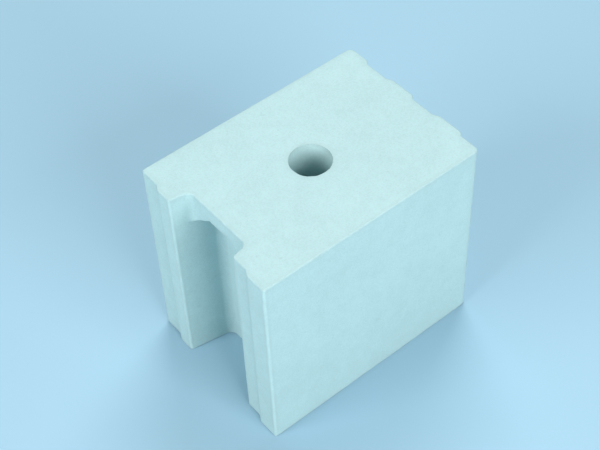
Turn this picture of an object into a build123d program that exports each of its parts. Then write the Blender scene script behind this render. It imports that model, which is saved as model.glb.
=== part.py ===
from build123d import *

import os
from math import radians, tan

# Calcium silicate wall block, one pressed piece, standing on its bed face.
# Millimetres. X runs along the length, with the gripped end at -X; Z is up.
# The origin is the middle of the bottom bed face.

# Overall size
LENGTH = 250.0
WIDTH = 180.0
HEIGHT = 220.0

# Tongue and groove ends: lands across the width, by turns proud and set back
LAND_PITCH = 32.0
TONGUE_HEIGHT = 3.4
END_CLEARANCE = 0.3
RECESS_DEPTH = TONGUE_HEIGHT + END_CLEARANCE
STEEP_FLANK_WIDTH = 4.0
GENTLE_FLANK_WIDTH = 7.0
STEPS_EACH_SIDE = int((WIDTH / 2 - GENTLE_FLANK_WIDTH) // LAND_PITCH)

# Central hole through the height
HOLE_DIAMETER = 40.0

# Hand grip in the middle of the -X end: a shallow slot over the full height
# and a deep pocket, which ends under a ledge
GRIP_MOUTH_WIDTH = 87.0
GRIP_WALL_DRAFT = 10.0
GRIP_DEPTH = 46.0
GRIP_CORNER_RADIUS = 9.0
LEDGE_DEPTH = 20.5
LEDGE_CORNER_RADIUS = 7.0
LEDGE_HEIGHT = 16.0

# The pocket's ceiling: flat in the middle, with a hip down to each wall
CEILING_FLAT_WIDTH = 27.0
CEILING_HIP_ANGLE = 39.0

# Rounded edges
GRIP_END_CORNER_RADIUS = 3.0
TONGUE_END_CORNER_RADIUS = 6.0
MOUTH_CORNER_RADIUS = 3.0
ARRIS_RADIUS = 1.5

# How far a cutting body runs past the face that it opens
OVERRUN = 5.0


def end_profile(out_x, in_x, first_is_proud):
    """Points of one end face in plan, from -Y to +Y, its steps one pitch apart.

    A step out to a proud land is steep and a step back from one is gentle.
    """
    proud = first_is_proud
    points = [(out_x if proud else in_x, -WIDTH / 2)]
    for step in range(-STEPS_EACH_SIDE, STEPS_EACH_SIDE + 1):
        step_y = step * LAND_PITCH
        half_flank = (GENTLE_FLANK_WIDTH if proud else STEEP_FLANK_WIDTH) / 2
        points.append((out_x if proud else in_x, step_y - half_flank))
        proud = not proud
        points.append((out_x if proud else in_x, step_y + half_flank))
    points.append((out_x if proud else in_x, WIDTH / 2))
    return points


def slot_half_width(depth):
    """Half the grip slot's width at a depth from the -X end."""
    return GRIP_MOUTH_WIDTH / 2 - depth * tan(radians(GRIP_WALL_DRAFT))


def slot_plan(depth, corner_radius):
    """Plan of the drafted slot, from before the -X end to a back wall with rounded corners."""
    mouth_x = -LENGTH / 2 - OVERRUN
    back_x = -LENGTH / 2 + depth
    mouth_half = slot_half_width(-OVERRUN)
    back_half = slot_half_width(depth)
    outline = Polyline(
        (mouth_x, -mouth_half),
        (back_x, -back_half),
        (back_x, back_half),
        (mouth_x, mouth_half),
        close=True,
    )
    plan = make_face(outline)
    back_corners = plan.vertices().group_by(Axis.X)[-1]
    return fillet(back_corners, corner_radius)


def blank():
    """The plan outline with its shallow slot and rounded corners, drawn up to the full height."""
    end_x = LENGTH / 2
    far_end = end_profile(end_x, end_x - TONGUE_HEIGHT, False)
    near_end = end_profile(-end_x, -end_x + RECESS_DEPTH, True)
    plan = make_face(Polyline(*far_end, *near_end[::-1], close=True))
    plan -= slot_plan(LEDGE_DEPTH, LEDGE_CORNER_RADIUS)
    mouth_half = slot_half_width(0)
    corners = (
        (far_end[0], TONGUE_END_CORNER_RADIUS),
        (far_end[-1], TONGUE_END_CORNER_RADIUS),
        (near_end[0], GRIP_END_CORNER_RADIUS),
        (near_end[-1], GRIP_END_CORNER_RADIUS),
        ((-end_x, -mouth_half), MOUTH_CORNER_RADIUS),
        ((-end_x, mouth_half), MOUTH_CORNER_RADIUS),
    )
    for corner, radius in corners:
        plan = fillet(plan.vertices().sort_by_distance(corner)[0], radius)
    return extrude(plan, HEIGHT)


def space_under_ceiling():
    """All the space below the pocket's ceiling and its two hips, wider than the pocket."""
    ceiling_z = HEIGHT - LEDGE_HEIGHT
    flat_half = CEILING_FLAT_WIDTH / 2
    hip_run = GRIP_MOUTH_WIDTH - flat_half
    hip_foot_z = ceiling_z - hip_run * tan(radians(CEILING_HIP_ANGLE))
    outline = Polyline(
        (-GRIP_MOUTH_WIDTH, -OVERRUN),
        (GRIP_MOUTH_WIDTH, -OVERRUN),
        (GRIP_MOUTH_WIDTH, hip_foot_z),
        (flat_half, ceiling_z),
        (-flat_half, ceiling_z),
        (-GRIP_MOUTH_WIDTH, hip_foot_z),
        close=True,
    )
    return extrude(Plane.YZ * make_face(outline), LENGTH, both=True)


def pocket():
    """The deep part of the grip, from below the bed up to its hipped ceiling."""
    deep_slot = extrude(slot_plan(GRIP_DEPTH, GRIP_CORNER_RADIUS), HEIGHT + OVERRUN)
    return Pos(0, 0, -OVERRUN) * deep_slot & space_under_ceiling()


def block():
    """The finished block: end lands, grip, eased arrises and central hole."""
    body = blank() - pocket()
    faces = body.faces().sort_by(Axis.Z)
    bed_edges = faces[0].edges() + faces[-1].edges()
    body = fillet(bed_edges, ARRIS_RADIUS)
    hole = Cylinder(HOLE_DIAMETER / 2, HEIGHT + 2 * OVERRUN)
    return body - Pos(0, 0, HEIGHT / 2) * hole


def write_part(name, shape):
    """Writes one named solid to the parts folder."""
    os.makedirs("parts", exist_ok=True)
    solid = shape.solids()[0]
    solid.label = name
    export_step(solid, f"parts/{name}.step")


write_part("block", block())
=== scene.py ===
"""Calcium silicate wall block: its worn surface, its sandy finish and a plain studio around it."""

from math import ceil, pi, radians

import bmesh
import bpy
import numpy as np
from bpy.props import FloatProperty, FloatVectorProperty, IntProperty, PointerProperty
from mathutils import Matrix, Vector, kdtree, noise


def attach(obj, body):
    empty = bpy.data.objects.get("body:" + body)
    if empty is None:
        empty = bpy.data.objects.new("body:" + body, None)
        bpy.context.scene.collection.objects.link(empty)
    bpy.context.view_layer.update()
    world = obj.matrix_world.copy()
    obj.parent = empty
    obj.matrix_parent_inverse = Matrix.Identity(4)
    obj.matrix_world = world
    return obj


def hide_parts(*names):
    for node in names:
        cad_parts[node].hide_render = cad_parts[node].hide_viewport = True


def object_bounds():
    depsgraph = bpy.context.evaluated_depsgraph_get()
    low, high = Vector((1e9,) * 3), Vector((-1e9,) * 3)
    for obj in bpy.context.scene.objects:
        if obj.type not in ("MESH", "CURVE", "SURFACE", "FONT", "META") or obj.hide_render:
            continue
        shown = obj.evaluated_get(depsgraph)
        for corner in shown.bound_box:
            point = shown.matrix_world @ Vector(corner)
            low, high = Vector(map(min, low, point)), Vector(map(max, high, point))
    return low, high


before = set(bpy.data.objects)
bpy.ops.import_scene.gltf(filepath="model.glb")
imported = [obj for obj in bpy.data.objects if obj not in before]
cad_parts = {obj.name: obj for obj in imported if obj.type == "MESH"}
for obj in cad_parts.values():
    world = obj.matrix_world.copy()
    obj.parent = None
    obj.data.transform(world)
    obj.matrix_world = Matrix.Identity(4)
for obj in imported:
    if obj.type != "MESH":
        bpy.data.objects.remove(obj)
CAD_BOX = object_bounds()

bl_info = {
    "name": "Calcium Silicate Block",
    "version": (1, 0, 0),
    "blender": (4, 5, 0),
    "location": "View3D > Sidebar > Block",
    "description": "Builds a worn calcium silicate wall block and a plain studio around it",
    "category": "Object",
}

NODE = "block"
BODY = "root"
MM = 0.001

# Cutting the surface: nearer points are one, thinner faces are closed up, flatter edges are dropped
SAME_PLACE = 0.001 * MM
SLIVER = 0.05 * MM
FLAT = radians(0.2)

# Numbers that each vertex keeps for the material
NAMED_WEAR_AND_SHADE = "arris"
NAMED_PIT = "pit"

# Vertices that stand prouder than this share of all of them lie right on an edge
EDGE_QUANTILE = 0.99

# Crumbling of the edges: its middle, swing and least, and the share of the edges' worn colour and
# painted shade that is even
CRUMB_MIDDLE = 0.4
CRUMB_SWING = 1.3
CRUMB_LEAST = 0.1
EVEN_WEAR_AND_SHADE = 0.5

# The smallest and the shallowest air pit, as shares of the largest and the deepest
LEAST_PIT_RADIUS = 0.55
LEAST_PIT_DEPTH = 0.35

# Steps through the noise, so that swells and grains don't follow the crumbs
WAVE_OFFSET = 7.3
GRAIN_OFFSET = 3.1

# Noises of the stone's material, in swells to the metre
GRAIN_DENSITY = 620
SPECK_DENSITY = 330
RIPPLE_DENSITY = 210
MOTTLE_DENSITY = 75
CLOUD_DENSITY = 11

# What each noise adds to the sandy colour
GRAIN_TINT = 0.55
MOTTLE_TINT = 0.25
CLOUD_TINT = 0.2

# How strongly specks, pits and worn edges are tinted, and how dark a speck or pit is beside sand;
# the worn edges' darker tint is partly sand and partly painted shade that damps their highlight
SPECK_TINT = 0.25
PIT_TINT = 0.3
WORN_SHADE_TINT = 0.7
DARK_SHARE = 0.72

# Gloss of the stone
STONE_ROUGHNESS = 0.86
GRAIN_ROUGHNESS = 0.1
WORN_SMOOTHNESS = 0.05
STONE_SPECULAR = 0.25

# Fine relief of the stone
GRAIN_RELIEF = 0.6
RIPPLE_RELIEF = 0.25
SPECK_RELIEF = 0.3
RELIEF_STRENGTH = 0.35
RELIEF_HEIGHT = 0.5 * MM

# Floor
FLOOR_SIDES = 96
FLOOR_CLOUD_DENSITY = 1.7
FLOOR_CLOUD_SHARE = 1.03
FLOOR_ROUGHNESS = 0.9
FLOOR_SPECULAR = 0.1

# Width of the camera's sensor in millimetres
SENSOR_WIDTH = 36.0

# Sockets of a Mix node that blends colours
MIX_FACTOR = 0
MIX_FIRST = 6
MIX_SECOND = 7
MIX_RESULT = 2


class BlockFinish(bpy.types.PropertyGroup):
    """Sizes and colours of the block's surface."""

    face_width: FloatProperty(
        name="Face Width", description="Width of the small faces that the surface is cut into",
        default=2.4 * MM, min=2.0 * MM, unit="LENGTH")
    crease: FloatProperty(
        name="Crease", description="Smallest turn between two faces that shows as a sharp edge",
        default=radians(18), unit="ROTATION")
    wave_height: FloatProperty(
        name="Wave Height", description="How far the pressed faces stray from flat",
        default=0.15 * MM, unit="LENGTH")
    wave_length: FloatProperty(
        name="Wave Length", description="Distance between the swells of a pressed face",
        default=55 * MM, unit="LENGTH")
    grain_height: FloatProperty(
        name="Grain Height", description="Height of the coarse sand grains in the surface",
        default=0.05 * MM, unit="LENGTH")
    grain_length: FloatProperty(
        name="Grain Length", description="Distance between the coarse sand grains",
        default=4.3 * MM, unit="LENGTH")
    arris_reach: FloatProperty(
        name="Arris Reach", description="How far from an edge the surface counts as part of it",
        default=4.5 * MM, unit="LENGTH")
    arris_wear: FloatProperty(
        name="Arris Wear", description="Most that a worn edge is rubbed back",
        default=0.3 * MM, unit="LENGTH")
    crumb_length: FloatProperty(
        name="Crumb Length", description="Length of a crumbled stretch of an edge",
        default=7 * MM, unit="LENGTH")
    pit_count: IntProperty(
        name="Pits", description="Number of small air pits in the surface", default=90, min=0)
    pit_radius: FloatProperty(
        name="Pit Radius", description="Radius of the largest air pit",
        default=2.9 * MM, unit="LENGTH")
    pit_depth: FloatProperty(
        name="Pit Depth", description="Depth of the deepest air pit",
        default=0.35 * MM, unit="LENGTH")
    seed: IntProperty(name="Seed", description="Chooses where the pits lie", default=11)
    lime: FloatVectorProperty(
        name="Lime", description="Colour of the lime that binds the sand",
        subtype="COLOR", size=3, min=0, max=1, default=(0.468, 0.652, 0.667))
    sand: FloatVectorProperty(
        name="Sand", description="Colour of the darker sand grains",
        subtype="COLOR", size=3, min=0, max=1, default=(0.398, 0.562, 0.577))
    # Rubbed edges are partly sand that shows and partly painted shade: a darker colour that damps
    # their highlight
    rubbed: FloatVectorProperty(
        name="Rubbed", description="Colour of rubbed edges, where the sand shows",
        subtype="COLOR", size=3, min=0, max=1, default=(0.395, 0.548, 0.563))


class StudioSettings(bpy.types.PropertyGroup):
    """Floor, lights and camera."""

    floor_radius: FloatProperty(
        name="Floor Radius", description="Radius of the round floor",
        default=14.0, unit="LENGTH")
    floor_color: FloatVectorProperty(
        name="Floor Colour", description="Colour of the floor",
        subtype="COLOR", size=3, min=0, max=1, default=(0.34, 0.52, 0.64))
    sky_color: FloatVectorProperty(
        name="Sky Colour", description="Colour of the light from all around",
        subtype="COLOR", size=3, min=0, max=1, default=(0.60, 0.86, 0.88))
    sky_strength: FloatProperty(
        name="Sky Strength", description="Strength of the light from all around",
        default=0.24, min=0)
    softbox_size: FloatProperty(
        name="Softbox Size", description="Side of a square softbox",
        default=1.3, unit="LENGTH")
    end_power: FloatProperty(
        name="End Power", description="Power of the softbox before the gripped end",
        default=33.0, unit="POWER")
    end_place: FloatVectorProperty(
        name="End Place", description="Middle of the softbox before the gripped end",
        subtype="XYZ", size=3, unit="LENGTH", default=(-1.94, 0.10, 1.14))
    side_power: FloatProperty(
        name="Side Power", description="Power of the softbox before the long side",
        default=41.5, unit="POWER")
    side_place: FloatVectorProperty(
        name="Side Place", description="Middle of the softbox before the long side",
        subtype="XYZ", size=3, unit="LENGTH", default=(-0.14, -1.94, 1.14))
    back_power: FloatProperty(
        name="Back Power", description="Power of the high softbox behind the block",
        default=33.5, unit="POWER")
    back_place: FloatVectorProperty(
        name="Back Place", description="Middle of the high softbox behind the block",
        subtype="XYZ", size=3, unit="LENGTH", default=(1.05, 0.95, 1.80))
    camera_eye: FloatVectorProperty(
        name="Camera Eye", description="Where the camera stands",
        subtype="XYZ", size=3, unit="LENGTH", default=(-0.5195, -0.6637, 1.0927))
    camera_azimuth: FloatProperty(
        name="Azimuth", description="Turn of the view from +Y towards +X",
        default=radians(37.21), unit="ROTATION")
    camera_elevation: FloatProperty(
        name="Elevation", description="How far the view looks down",
        default=radians(48.71), unit="ROTATION")
    camera_roll: FloatProperty(
        name="Roll", description="Tilt of the picture",
        default=radians(-2.93), unit="ROTATION")
    camera_lens: FloatProperty(
        name="Lens", description="Focal length in millimetres on a 36 mm sensor",
        default=81.69)


class Shade:
    """A socket of a material's nodes. Arithmetic on it adds Math nodes."""

    def __init__(self, tree, socket=None):
        self.tree = tree
        self.socket = socket

    def node(self, kind, settings=None, sockets=None, output=0):
        """A new node: its settings are set first, then its sockets get their values or links."""
        made = self.tree.nodes.new(kind)
        for name, setting in (settings or {}).items():
            setattr(made, name, setting)
        for name, given in (sockets or {}).items():
            if isinstance(given, Shade):
                self.tree.links.new(given.socket, made.inputs[name])
            else:
                made.inputs[name].default_value = given
        return Shade(self.tree, made.outputs[output])

    def maths(self, operation, *values):
        """A Math node on those values, in that order."""
        return self.node("ShaderNodeMath", {"operation": operation}, dict(enumerate(values)))

    def __add__(self, other):
        return self.maths("ADD", self, other)

    __radd__ = __add__

    def __sub__(self, other):
        return self.maths("SUBTRACT", self, other)

    def __rsub__(self, other):
        return self.maths("SUBTRACT", other, self)

    def __mul__(self, other):
        return self.maths("MULTIPLY", self, other)

    __rmul__ = __mul__

    def between(self, low, high):
        """0 below low, 1 above high and smooth in between."""
        settings = {"interpolation_type": "SMOOTHSTEP"}
        sockets = {"Value": self, "From Min": low, "From Max": high}
        return self.node("ShaderNodeMapRange", settings, sockets)

    def noise(self, per_metre, detail=2.0, roughness=0.5):
        """Noise at this place, with that many swells in a metre."""
        sockets = {"Vector": self, "Scale": per_metre, "Detail": detail, "Roughness": roughness}
        return self.node("ShaderNodeTexNoise", None, sockets)

    def mix(self, color, other):
        """Blends from one colour to the other by this value."""
        settings = {"data_type": "RGBA"}
        sockets = {MIX_FACTOR: self, MIX_FIRST: color, MIX_SECOND: other}
        return self.node("ShaderNodeMix", settings, sockets, output=MIX_RESULT)


def new_material(name):
    """A new node material, with its nodes and the Principled shader wired to its output."""
    material = bpy.data.materials.new(name)
    material.use_nodes = True
    tree = material.node_tree
    shader = next(n for n in tree.nodes if n.type == "BSDF_PRINCIPLED")
    return material, tree, shader


def link(tree, shader, name, value):
    """Feeds one input of the shader."""
    tree.links.new(value.socket, shader.inputs[name])


def opaque(color):
    """A colour property as the four numbers of a colour socket."""
    return (*color, 1.0)


def silicate_material(finish):
    """Pressed sand and lime: pale, matt and finely grained, darker in pits and on edges, where the
    darkening is partly sand and partly painted shade.
    """
    material, tree, shader = new_material("calcium_silicate")
    maker = Shade(tree)
    place = maker.node("ShaderNodeTexCoord", output="Object")
    worn = maker.node("ShaderNodeAttribute", {"attribute_name": NAMED_WEAR_AND_SHADE}, output="Fac")
    pitted = maker.node("ShaderNodeAttribute", {"attribute_name": NAMED_PIT}, output="Fac")

    grain = place.noise(GRAIN_DENSITY, detail=3.0, roughness=0.65)
    specks = place.noise(SPECK_DENSITY, detail=1.0).between(low=0.72, high=0.80)
    ripple = place.noise(RIPPLE_DENSITY, detail=3.0, roughness=0.6)
    mottle = place.noise(MOTTLE_DENSITY, detail=3.0, roughness=0.6)
    cloud = place.noise(CLOUD_DENSITY)

    sandy = GRAIN_TINT * grain.between(low=0.35, high=0.7)
    sandy += MOTTLE_TINT * mottle.between(low=0.3, high=0.7)
    sandy += CLOUD_TINT * cloud.between(low=0.3, high=0.7)
    color = sandy.mix(opaque(finish.lime), opaque(finish.sand))
    darker = opaque([DARK_SHARE * part for part in finish.sand])
    color = (SPECK_TINT * specks).mix(color, darker)
    color = (PIT_TINT * pitted).mix(color, darker)
    # Painted shade on the edges: they take the darker rubbed colour, partly for worn sand and
    # partly to damp their highlight
    color = (WORN_SHADE_TINT * worn).mix(color, opaque(finish.rubbed))
    link(tree, shader, "Base Color", color)

    roughness = STONE_ROUGHNESS + GRAIN_ROUGHNESS * grain - WORN_SMOOTHNESS * worn
    link(tree, shader, "Roughness", roughness)
    shader.inputs["Specular IOR Level"].default_value = STONE_SPECULAR

    relief = GRAIN_RELIEF * grain + RIPPLE_RELIEF * ripple - SPECK_RELIEF * specks
    sockets = {"Height": relief, "Strength": RELIEF_STRENGTH, "Distance": RELIEF_HEIGHT}
    link(tree, shader, "Normal", maker.node("ShaderNodeBump", None, sockets, "Normal"))
    return material


def floor_material(settings):
    """A pale studio floor, very slightly cloudy."""
    material, tree, shader = new_material("studio_floor")
    place = Shade(tree).node("ShaderNodeTexCoord", output="Object")
    cloud = place.noise(FLOOR_CLOUD_DENSITY)
    pale = opaque(settings.floor_color)
    paler = opaque([FLOOR_CLOUD_SHARE * part for part in settings.floor_color])
    link(tree, shader, "Base Color", cloud.mix(pale, paler))
    shader.inputs["Roughness"].default_value = FLOOR_ROUGHNESS
    shader.inputs["Specular IOR Level"].default_value = FLOOR_SPECULAR
    return material


def cut_evenly(shape, axis, low, high, width):
    """Cuts every face along planes across one axis, so that no face is wider than that."""
    cuts = ceil((high - low) / width)
    across = Vector((0.0, 0.0, 0.0))
    across[axis] = 1.0
    for step in range(1, cuts):
        place = across * (low + (high - low) * step / cuts)
        everything = [*shape.verts, *shape.edges, *shape.faces]
        bmesh.ops.bisect_plane(
            shape, geom=everything, dist=SAME_PLACE, plane_co=place, plane_no=across)


def refined_copy(source, face_width):
    """A new mesh object with the source's shape and edges, cut into small faces."""
    shape = bmesh.new()
    shape.from_mesh(source.data)
    bmesh.ops.remove_doubles(shape, verts=shape.verts, dist=SAME_PLACE)
    bmesh.ops.dissolve_limit(shape, angle_limit=FLAT, verts=shape.verts, edges=shape.edges)
    for axis in range(3):
        cut_evenly(shape, axis, CAD_BOX[0][axis], CAD_BOX[1][axis], face_width)
    bmesh.ops.remove_doubles(shape, verts=shape.verts, dist=SLIVER)
    mesh = bpy.data.meshes.new("block_body")
    shape.to_mesh(mesh)
    shape.free()
    piece = bpy.data.objects.new("block_body", mesh)
    bpy.context.scene.collection.objects.link(piece)
    return piece


def read_points(mesh):
    """The places of a mesh's vertices, one row each."""
    points = np.empty(len(mesh.vertices) * 3)
    mesh.vertices.foreach_get("co", points)
    return points.reshape(-1, 3)


def read_normals(mesh):
    """The outward directions at a mesh's vertices, one row each."""
    normals = np.empty(len(mesh.vertices) * 3)
    mesh.vertex_normals.foreach_get("vector", normals)
    return normals.reshape(-1, 3)


def write_points(mesh, points):
    """Moves a mesh's vertices."""
    mesh.vertices.foreach_set("co", points.ravel())
    mesh.update()


def search_tree(points):
    """A tree that finds the vertices near a place."""
    tree = kdtree.KDTree(len(points))
    for index, point in enumerate(points):
        tree.insert(point, index)
    tree.balance()
    return tree


def arris_and_outward(points, normals, tree, reach):
    """Two facts on each vertex, from the surface within that reach of it.

    The first is how far it stands proud: 0 on a flat face, 1 on a sharp edge. The second is the
    way out, which turns smoothly where a face meets the next one.
    """
    proud = np.zeros(len(points))
    outward = np.zeros_like(normals)
    for index, point in enumerate(points):
        near = [found[1] for found in tree.find_range(point, reach)]
        proud[index] = (point - points[near].mean(axis=0)) @ normals[index]
        outward[index] = normals[near].mean(axis=0)
    outward /= np.linalg.norm(outward, axis=1, keepdims=True)
    return np.clip(proud / np.quantile(proud, EDGE_QUANTILE), 0, 1), outward


def noise_at(points, per_metre, offset=0.0):
    """Smooth noise from -1 to 1 at each point."""
    shift = Vector((offset, offset, offset))
    return np.array([noise.noise(Vector(point) * per_metre + shift) for point in points])


def pit_share(points, tree, finish):
    """Depth of the air pits at each vertex, from 0 to 1, deepest in the middle of a round pit."""
    chance = np.random.default_rng(finish.seed)
    depth = np.zeros(len(points))
    for index in chance.integers(0, len(points), finish.pit_count):
        radius = finish.pit_radius * chance.uniform(LEAST_PIT_RADIUS, 1.0)
        deepest = chance.uniform(LEAST_PIT_DEPTH, 1.0)
        for _, near, distance in tree.find_range(points[index], radius):
            depth[near] = max(depth[near], deepest * (1 - (distance / radius) ** 2))
    return depth


def write_share(mesh, name, share):
    """Keeps one number a vertex for the material."""
    attribute = mesh.attributes.new(name, "FLOAT", "POINT")
    attribute.data.foreach_set("value", share.astype(np.float32))


def weather(mesh, finish):
    """Wears the edges, swells the faces, roughens them with grains and sinks the air pits."""
    points = read_points(mesh)
    normals = read_normals(mesh)
    tree = search_tree(points)
    arris, outward = arris_and_outward(points, normals, tree, finish.arris_reach)
    pits = pit_share(points, tree, finish) * (1 - arris)
    crumbs = CRUMB_MIDDLE + CRUMB_SWING * noise_at(points, 1 / finish.crumb_length)
    crumbs = np.clip(crumbs, CRUMB_LEAST, 1)
    swell = noise_at(points, 1 / finish.wave_length, WAVE_OFFSET)
    grains = noise_at(points, 1 / finish.grain_length, GRAIN_OFFSET)
    height = finish.wave_height * swell + finish.grain_height * grains
    height -= finish.arris_wear * arris * crumbs + finish.pit_depth * pits
    write_points(mesh, points + outward * height[:, None])
    # This edge share darkens the edges' colour: partly worn sand, partly painted shade
    write_share(mesh, NAMED_WEAR_AND_SHADE, arris * (EVEN_WEAR_AND_SHADE + (1 - EVEN_WEAR_AND_SHADE) * crumbs))
    write_share(mesh, NAMED_PIT, pits)


class BLOCK_OT_body(bpy.types.Operator):
    """Builds the block's worn surface over its solid"""

    bl_idname = "block.body"
    bl_label = "Block Body"

    def execute(self, context):
        finish = context.scene.block_finish
        piece = refined_copy(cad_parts[NODE], finish.face_width)
        weather(piece.data, finish)
        piece.data.materials.append(silicate_material(finish))
        piece.data.shade_smooth()
        piece.data.set_sharp_from_angle(angle=finish.crease)
        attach(piece, BODY)
        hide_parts(NODE)
        return {"FINISHED"}


def add_floor(settings):
    """A round pale floor under the block."""
    bpy.ops.mesh.primitive_circle_add(
        vertices=FLOOR_SIDES, radius=settings.floor_radius, fill_type="NGON")
    floor = bpy.context.object
    floor.name = "studio_floor"
    floor.data.materials.append(floor_material(settings))


def add_softbox(name, place, size, power):
    """A large soft light, turned to the block."""
    light = bpy.data.lights.new(name, "AREA")
    light.shape = "SQUARE"
    light.size = size
    light.energy = power
    lamp = bpy.data.objects.new(name, light)
    lamp.location = place
    lamp.rotation_euler = (-Vector(place)).to_track_quat("-Z", "Y").to_euler()
    bpy.context.scene.collection.objects.link(lamp)


def add_softboxes(settings):
    """One softbox before the gripped end, one before the long side and one high behind."""
    size = settings.softbox_size
    add_softbox("end_softbox", settings.end_place, size, settings.end_power)
    add_softbox("side_softbox", settings.side_place, size, settings.side_power)
    add_softbox("back_softbox", settings.back_place, size, settings.back_power)


def add_sky(settings):
    """Even light from all around."""
    world = bpy.data.worlds.new("studio")
    world.use_nodes = True
    background = next(n for n in world.node_tree.nodes if n.type == "BACKGROUND")
    background.inputs["Color"].default_value = opaque(settings.sky_color)
    background.inputs["Strength"].default_value = settings.sky_strength
    bpy.context.scene.world = world


def add_camera(settings):
    """The camera, looking down on the block's gripped end and long side."""
    camera = bpy.data.cameras.new("camera")
    camera.sensor_width = SENSOR_WIDTH
    camera.lens = settings.camera_lens
    stand = bpy.data.objects.new("camera", camera)
    turn = Matrix.Rotation(-settings.camera_azimuth, 4, "Z")
    pitch = Matrix.Rotation(pi / 2 - settings.camera_elevation, 4, "X")
    roll = Matrix.Rotation(settings.camera_roll, 4, "Z")
    stand.matrix_world = Matrix.Translation(settings.camera_eye) @ turn @ pitch @ roll
    bpy.context.scene.collection.objects.link(stand)
    bpy.context.scene.camera = stand


class BLOCK_OT_studio(bpy.types.Operator):
    """Adds the floor, the lights and the camera"""

    bl_idname = "block.studio"
    bl_label = "Studio"

    def execute(self, context):
        settings = context.scene.block_studio
        add_floor(settings)
        add_softboxes(settings)
        add_sky(settings)
        add_camera(settings)
        context.scene.view_settings.view_transform = "Standard"
        return {"FINISHED"}


class BLOCK_PT_panel(bpy.types.Panel):
    """Lists the steps that build the block"""

    bl_idname = "BLOCK_PT_panel"
    bl_label = "Calcium Silicate Block"
    bl_space_type = "VIEW_3D"
    bl_region_type = "UI"
    bl_category = "Block"

    def draw(self, context):
        for operator in OPERATORS:
            self.layout.operator(operator.bl_idname)


OPERATORS = (BLOCK_OT_body, BLOCK_OT_studio)
CLASSES = (BlockFinish, StudioSettings, *OPERATORS, BLOCK_PT_panel)


def register():
    """Makes the settings, the steps and the panel known to Blender."""
    for made in CLASSES:
        bpy.utils.register_class(made)
    bpy.types.Scene.block_finish = PointerProperty(type=BlockFinish)
    bpy.types.Scene.block_studio = PointerProperty(type=StudioSettings)


def unregister():
    """Takes them out again, in the reverse order."""
    del bpy.types.Scene.block_studio
    del bpy.types.Scene.block_finish
    for made in reversed(CLASSES):
        bpy.utils.unregister_class(made)


def main():
    """Builds the block and its studio."""
    register()
    bpy.ops.block.body()
    bpy.ops.block.studio()


if __name__ == "__main__":
    main()
